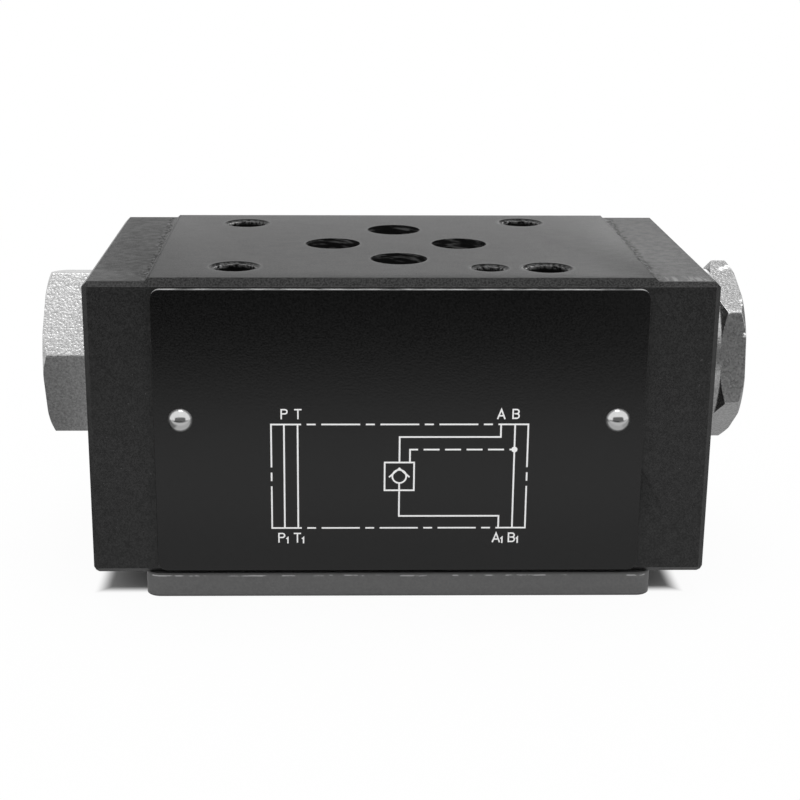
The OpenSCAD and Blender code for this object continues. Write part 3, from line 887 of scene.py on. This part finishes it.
def spring_stretch(first, last):
    """A stretch of the spring between two numbers of turns: a circle of the wire's radius
    carried round the bore's axis, at the station of each turn."""
    wire_r = SPRING_WIRE / 2
    turn = np.linspace(first, last, round((last - first) * SPRING_STEPS) + 1)[:, None]
    section = np.linspace(0, 2 * math.pi, SPRING_SIDES, endpoint=False)[None, :]
    angle = 2 * math.pi * turn
    reach = (spring_high[2] - spring_low[2]) / 2 - wire_r + wire_r * np.cos(section)
    along = spring_station(turn) + wire_r * np.sin(section)
    points = np.stack([along, reach * np.cos(angle), axis_z + reach * np.sin(angle)], axis=-1)
    return points.reshape(-1, 3), tube_faces(len(turn), SPRING_SIDES)


def spring_piece(name, first, last):
    """A stretch of the spring between two numbers of turns, drawn in place of the spring's solid."""
    thing = piece(name, spring_stretch(first, last), FINISHES["bright_steel"], None)
    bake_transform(thing)
    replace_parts(thing, "check_spring")


spring_piece("check_spring_fixed", 0, SPRING_SPLIT)
spring_piece(
    "check_spring_moving", SPRING_SPLIT, SPRING_TURNS)


# Printed symbol of a pilot-operated check valve

SYMBOL_X = -0.16
LINE = 0.22
FRAME_HALF = 16.5
FRAME_LOW = 9.95
FRAME_HIGH = 24.1
CHAIN_DASH = 4.98
CHAIN_GAP = 0.72
CHAIN_DOT = 1.15
LINE_P = -14.85
LINE_T = -13.1
LINE_A = 13.0
LINE_B = 14.8
A_IN_Z = 22.4
A_OUT_Z = 11.6
CHECK_Z = 17.05
CHECK_HALF = 1.9
BALL_R = 0.9
BALL_STEPS = 24
BALL_END = 345
SEAT_LINES = [[-1.32, -0.1], [0, 1.1], [1.32, -0.1]]
PILOT_X = 1.35
PILOT_Z = 20.7
PILOT_DASH = 2.05
PILOT_GAP = 0.72
PILOT_DASHES = 5
PILOT_DOT_R = 0.39


def chain_frame():
    """Enclosure in a chain line: dashes and dots from the middle of its long sides to its corners."""
    mid = (FRAME_LOW + FRAME_HIGH) / 2
    half_dash = CHAIN_DASH / 2
    period = CHAIN_DASH + CHAIN_DOT + 2 * CHAIN_GAP
    stretches = (
        (half_dash + CHAIN_GAP, CHAIN_DOT),
        (period - half_dash, CHAIN_DASH),
        (period + half_dash + CHAIN_GAP, CHAIN_DOT),
    )
    lines = []
    for z in (FRAME_LOW, FRAME_HIGH):
        lines.append([[-half_dash, z], [half_dash, z]])
        clear = math.copysign(CHAIN_DOT / 2 + CHAIN_GAP, z - mid)
        for side in (-1, 1):
            lines += [[[side * start, z], [side * (start + length), z]] for start, length in stretches]
            edge = side * FRAME_HALF
            lines.append([[side * (2 * period - half_dash), z], [edge, z], [edge, mid + clear]])
    for edge in (-FRAME_HALF, FRAME_HALF):
        lines.append([[edge, mid - CHAIN_DOT / 2], [edge, mid + CHAIN_DOT / 2]])
    return [ribbon(line, LINE) for line in lines]


def circuit():
    """Lines of P, T and B straight through, line A with its check, and the pilot line from B."""
    low, high = CHECK_Z - CHECK_HALF, CHECK_Z + CHECK_HALF
    box = [[-CHECK_HALF, low], [CHECK_HALF, low], [CHECK_HALF, high], [-CHECK_HALF, high]]
    ball = arc([0, CHECK_Z], BALL_R, 0, BALL_END, BALL_STEPS)
    pilot_start = PILOT_X + PILOT_DASH / 2
    lines = [
        np.array(SEAT_LINES) + [0, CHECK_Z],
        [[0, high], [0, A_IN_Z], [LINE_A, A_IN_Z], [LINE_A, FRAME_HIGH]],
        [[0, CHECK_Z - BALL_R], [0, A_OUT_Z], [LINE_A, A_OUT_Z], [LINE_A, FRAME_LOW]],
        [[PILOT_X, high], [PILOT_X, PILOT_Z], [pilot_start, PILOT_Z]],
    ]
    for count in range(PILOT_DASHES):
        start = pilot_start + PILOT_GAP + count * (PILOT_DASH + PILOT_GAP)
        lines.append([[start, PILOT_Z], [min(start + PILOT_DASH, LINE_B), PILOT_Z]])
    shapes = [ribbon([[x, FRAME_LOW], [x, FRAME_HIGH]], LINE) for x in (LINE_P, LINE_T, LINE_B)]
    shapes += [ribbon(box, LINE, True), ribbon(ball, LINE, True)]
    shapes += [ribbon(line, LINE) for line in lines]
    return shapes + [ink_dot([LINE_B, PILOT_Z], PILOT_DOT_R)]


def symbol_lines():
    """The whole symbol, moved to its place on the nameplate."""
    points, faces = joined(chain_frame() + circuit())
    return points + np.array([SYMBOL_X, 0, 0]), faces


# Port letters: middles of the upper and of the lower letter along x, and sizes as shares of the cap
LETTER_PLACES = {
    "P": (-14.96, -15.42), "T": (-13.2, -13.38), "A": (12.84, 12.6), "B": (14.71, 14.61),
}
UPPER_Z = 25.5
LOWER_Z = 8.6
CAP = 1.37
STROKE = 0.2
LETTER_WIDTH = 0.95
LETTER_HALF = 0.48
A_BAR = 0.32
WAIST = 0.52
BOWL_STEPS = 9
FLAG_WIDTH = 0.22
FLAG_HEIGHT = 0.72
FIGURE_SCALE = 0.62
FIGURE_OFFSET = [1.08, -0.1]


def letter_strokes(letter):
    """Strokes of a plain capital or a figure one, from the lower left of its own box."""
    width, half_stroke = LETTER_WIDTH, STROKE / 2
    top, middle = CAP - half_stroke, WAIST * CAP
    if letter == "T":
        return [[[0, top], [width, top]], [[width / 2, CAP - STROKE], [width / 2, 0]]]
    if letter == "A":
        bar = A_BAR * CAP
        inset = A_BAR * width / 2 + half_stroke
        return [[[0, 0], [width / 2, top], [width, 0]], [[inset, bar], [width - inset, bar]]]
    if letter == "1":
        return [[[0, FLAG_HEIGHT * CAP], [FLAG_WIDTH * CAP, top], [FLAG_WIDTH * CAP, 0]]]
    bowl = (top - middle) / 2
    turn = width - half_stroke - bowl
    upper = np.concatenate([
        [[half_stroke, 0], [half_stroke, top]],
        arc([turn, top - bowl], bowl, 90, -90, BOWL_STEPS),
        [[STROKE, middle]],
    ])
    if letter == "P":
        return [upper]
    foot = middle / 2 - STROKE / 4
    lower = np.concatenate([
        [[STROKE, middle]],
        arc([turn, middle - foot], foot, 90, -90, BOWL_STEPS),
        [[STROKE, half_stroke]],
    ])
    return [upper, lower]


def letters():
    """Port letters above the symbol, and again with a small figure one below it."""
    shapes = []
    for letter, (upper_x, lower_x) in LETTER_PLACES.items():
        for middle_x, middle_z, marked in ((upper_x, UPPER_Z, False), (lower_x, LOWER_Z, True)):
            start = np.array([middle_x - LETTER_HALF, middle_z - CAP / 2])
            strokes = [np.array(stroke) for stroke in letter_strokes(letter)]
            if marked:
                figure = letter_strokes("1")
                strokes += [FIGURE_SCALE * np.array(stroke) + FIGURE_OFFSET for stroke in figure]
            shapes += [ribbon(stroke + start, STROKE) for stroke in strokes]
    return joined(shapes)


piece("symbol_print", symbol_lines(), white_ink, sharp=PRINT_ANGLE)
piece("port_letter_print", letters(), white_ink, sharp=PRINT_ANGLE)


# Floor and studio

WHITE = (1, 1, 1, 1)
SEEN = ("Is Camera Ray", "Is Glossy Ray", "Is Transmission Ray")
FLOOR_HALF = 420
FLOOR_POINTS = 3
FLOOR_BELOW = 0.02
FLOOR_GREY = 0.86
FLOOR_GLOW = 1.06
FLOOR_GLOW_SHARE = 0.9
FADE_START = 200
FADE_END = 400

# Box on the floor in which the shadow shows, and where the floor is painted a darker grey as painted
# shadow
SHADE_LEFT = -39.5
SHADE_RIGHT = 37.2
SHADE_HALF_DEPTH = 21
SHADE_SOFT = 1.2
FLOOR_SHADE = 0.4

# Strength of the sky as light and as it is seen
SKY_LIGHT = 0.9
SKY_SEEN = 1.0


def emptied(owner):
    """A wire to start from in a material or a world whose nodes are cleared."""
    owner.use_nodes = True
    owner.node_tree.nodes.clear()
    return Wire(owner.node_tree)


def ground_place(start):
    """The object's coordinates in metres, and their x and y."""
    place = start.node("ShaderNodeTexCoord", output="Object")
    x, y = (start.node("ShaderNodeSeparateXYZ", None, {0: place}, axis) for axis in "XY")
    return place, x, y


def seen_rays(start):
    """1 for the rays that show a surface or the sky itself, and 0 for those that only light others."""
    camera_ray, glossy_ray, clear_ray = (
        start.node("ShaderNodeLightPath", output=name) for name in SEEN)
    return camera_ray.math("MINIMUM", camera_ray + glossy_ray + clear_ray, 1)


def floor():
    """A flat pale sheet under the object that fades out towards its rim. Where it is seen, it is
    white, except in a box under the object that keeps the object's shadow and where the sheet is painted
    a darker grey, a painted shadow."""
    side = np.linspace(-FLOOR_HALF, FLOOR_HALF, FLOOR_POINTS)
    x, y = np.meshgrid(side, side)
    points = np.stack([x, y, np.full_like(x, plate_low[2] - FLOOR_BELOW)], axis=-1).reshape(-1, 3)
    material = bpy.data.materials.new("pale_floor")
    start = emptied(material)
    place, x, y = ground_place(start)
    outside = greater(
        greater(SHADE_LEFT * MM - x, x - SHADE_RIGHT * MM), abs(y) - SHADE_HALF_DEPTH * MM)
    seen = seen_rays(start)
    white = seen * outside.rise(-SHADE_SOFT * MM, SHADE_SOFT * MM) * FLOOR_GLOW_SHARE
    grey = seen.between(FLOOR_GREY, FLOOR_SHADE)
    matte = start.node("ShaderNodeBsdfDiffuse", None, {"Color": grey})
    glow = start.node("ShaderNodeEmission", None, {"Color": WHITE, "Strength": FLOOR_GLOW})
    clear = start.node("ShaderNodeBsdfTransparent")
    lifted = start.node("ShaderNodeMixShader", None, {0: white, 1: matte, 2: glow})
    reach = start.node("ShaderNodeVectorMath", {"operation": "LENGTH"}, {0: place}, "Value")
    rim = reach.rise(FADE_START * MM, FADE_END * MM)
    faded = start.node("ShaderNodeMixShader", None, {0: rim, 1: lifted, 2: clear})
    start.node("ShaderNodeOutputMaterial", None, {"Surface": faded})
    material.cycles.emission_sampling = "NONE"
    faces = grid_faces(FLOOR_POINTS, FLOOR_POINTS, False)
    thing = piece("floor", (points, faces), material, None)


def sky():
    """Even white for what is seen, directly or mirrored, and a plain level of light on the object."""
    world = bpy.data.worlds.new("studio")
    start = emptied(world)
    strength = seen_rays(start).between(SKY_LIGHT, SKY_SEEN)
    light = start.node("ShaderNodeBackground", None, {"Color": WHITE, "Strength": strength})
    start.node("ShaderNodeOutputWorld", None, {"Surface": light})
    world.cycles.sampling_method = "NONE"
    bpy.context.scene.world = world


# Painted reflection of the floor, a sheet that only shows in reflections: its glow near the object's
# front, far from it, and behind the object;
# and the shares that it loses under the object and beside it, painted shade in the reflection
REFLECTED_NEAR = 0.66
REFLECTED_FAR = 0.03
REFLECTED_FAR_RIGHT = 0.2
REFLECTED_BEHIND = 1
REFLECTED_BEHIND_RIGHT = 0.3
REFLECTED_SHADE_UNDER = 0.2
REFLECTED_SHADE_LEFT = 0.5
REFLECTED_SHADE_RIGHT = 0.15


def painted_reflection_glow(start):
    """Painted reflection of the floor: almost black far in front, paler towards the object, less under
    it and beside it as painted shade, and white behind it except on the right."""
    _, x, y = ground_place(start)
    left, right = x.rise(-40 * MM, -50 * MM), x.rise(40 * MM, 50 * MM)
    beside = (left * REFLECTED_SHADE_LEFT + right * REFLECTED_SHADE_RIGHT) * y.rise(-65 * MM, -45 * MM)
    under = y.rise(-70 * MM, -40 * MM) * REFLECTED_SHADE_UNDER
    far = x.rise(55 * MM, 75 * MM).between(REFLECTED_FAR, REFLECTED_FAR_RIGHT)
    front = y.rise(-145 * MM, -112 * MM).between(far, REFLECTED_NEAR) * (1 - beside - under)
    behind = x.rise(50 * MM, 62 * MM).between(REFLECTED_BEHIND, REFLECTED_BEHIND_RIGHT)
    return y.rise(20 * MM, 70 * MM).between(front, behind)


def card(name, first, second, across, glow):
    """A studio card that only shows in reflections: the sheet that the line between two corners
    sweeps along a direction. Its glow is a number or a function that adds nodes."""
    first, second, across = (np.array(corner, float) for corner in (first, second, across))
    corners = np.stack([first, second, second + across, first + across])
    material = bpy.data.materials.new(name)
    start = emptied(material)
    strength = glow(start) if callable(glow) else glow
    light = start.node("ShaderNodeEmission", None, {"Color": WHITE, "Strength": strength})
    start.node("ShaderNodeOutputMaterial", None, {"Surface": light})
    material.cycles.emission_sampling = "NONE"
    thing = piece(name, (corners, [[0, 1, 2, 3]]), material, None)
    thing.visible_camera = False
    thing.visible_diffuse = False
    thing.visible_shadow = False


LAMP_AIM = np.array([0, 0, 20])


def posed(thing, axes, place):
    """Turn an object to three axes, the columns of a matrix, at a place in millimetres."""
    turn = np.eye(4)
    turn[:3, :3] = axes
    turn[:3, 3] = np.array(place) * MM
    thing.matrix_world = Matrix(turn.tolist())


def lamp(name, place, size, power):
    """A square soft lamp that looks at the object."""
    light = bpy.data.lights.new(name, "AREA")
    light.size = size * MM
    light.energy = power
    thing = bpy.data.objects.new(name, light)
    bpy.context.scene.collection.objects.link(thing)
    away = np.array(place, float) - LAMP_AIM
    away /= np.linalg.norm(away)
    across = np.cross([0, 0, 1], away)
    across /= np.linalg.norm(across)
    posed(thing, np.stack([across, np.cross(away, across), away], axis=1), place)
    thing.visible_camera = False


# Camera, fitted to the holes in the photo

PHOTO_SIDE = 800
FOCAL_PIXELS = 1618.23
CENTRE_PIXEL = 363.38
SENSOR = 36
CAMERA_AIM = np.array([-4.431, 0, 20.197])
CAMERA_DISTANCE = 231.381
CAMERA_ELEVATION = math.radians(16.6)
CAMERA_YAW = math.radians(-0.993)
CAMERA_ROLL = math.radians(0.2565)
CLIP_START = 10
CLIP_END = 20000


def camera():
    """A camera that looks at its aim from a distance, turned by a yaw, an elevation and a small roll."""
    data = bpy.data.cameras.new("camera")
    data.sensor_width = SENSOR
    data.lens = FOCAL_PIXELS * SENSOR / PHOTO_SIDE
    data.shift_x = (PHOTO_SIDE / 2 - CENTRE_PIXEL) / PHOTO_SIDE
    data.clip_start, data.clip_end = CLIP_START * MM, CLIP_END * MM
    level, height = math.cos(CAMERA_ELEVATION), math.sin(CAMERA_ELEVATION)
    back = np.array([math.sin(CAMERA_YAW) * level, -math.cos(CAMERA_YAW) * level, height])
    right = np.array([math.cos(CAMERA_YAW), math.sin(CAMERA_YAW), 0])
    up = np.cross(back, right)
    rolled_right = right * math.cos(CAMERA_ROLL) + up * math.sin(CAMERA_ROLL)
    rolled_up = up * math.cos(CAMERA_ROLL) - right * math.sin(CAMERA_ROLL)
    thing = bpy.data.objects.new("camera", data)
    bpy.context.scene.collection.objects.link(thing)
    axes = np.stack([rolled_right, rolled_up, back], axis=1)
    posed(thing, axes, CAMERA_AIM + back * CAMERA_DISTANCE)
    bpy.context.scene.camera = thing


floor()
sky()
# a sheet over the floor that only shows in reflections: painted reflection, with painted shade under and
# beside the object
card("painted_reflection_sheet", [-700, -700, 0.2], [700, -700, 0.2], [0, 1100, 0], painted_reflection_glow)
card("upper_card", [40, 180, 480], [360, 180, 480], [0, 340, 0], 0.5)
card("front_card", [-700, -700, 0], [700, -700, 0], [0, 0, 420], 0.16)
card("right_card", [420, 120, 0], [420, 700, 0], [0, 0, 260], 0.12)
lamp("back_lamp", [380, 815, 240], size=400, power=0.65)
lamp("top_lamp", [0, 60, 700], size=300, power=1.3)
camera()

scene = bpy.context.scene
scene.view_settings.view_transform = "Standard"
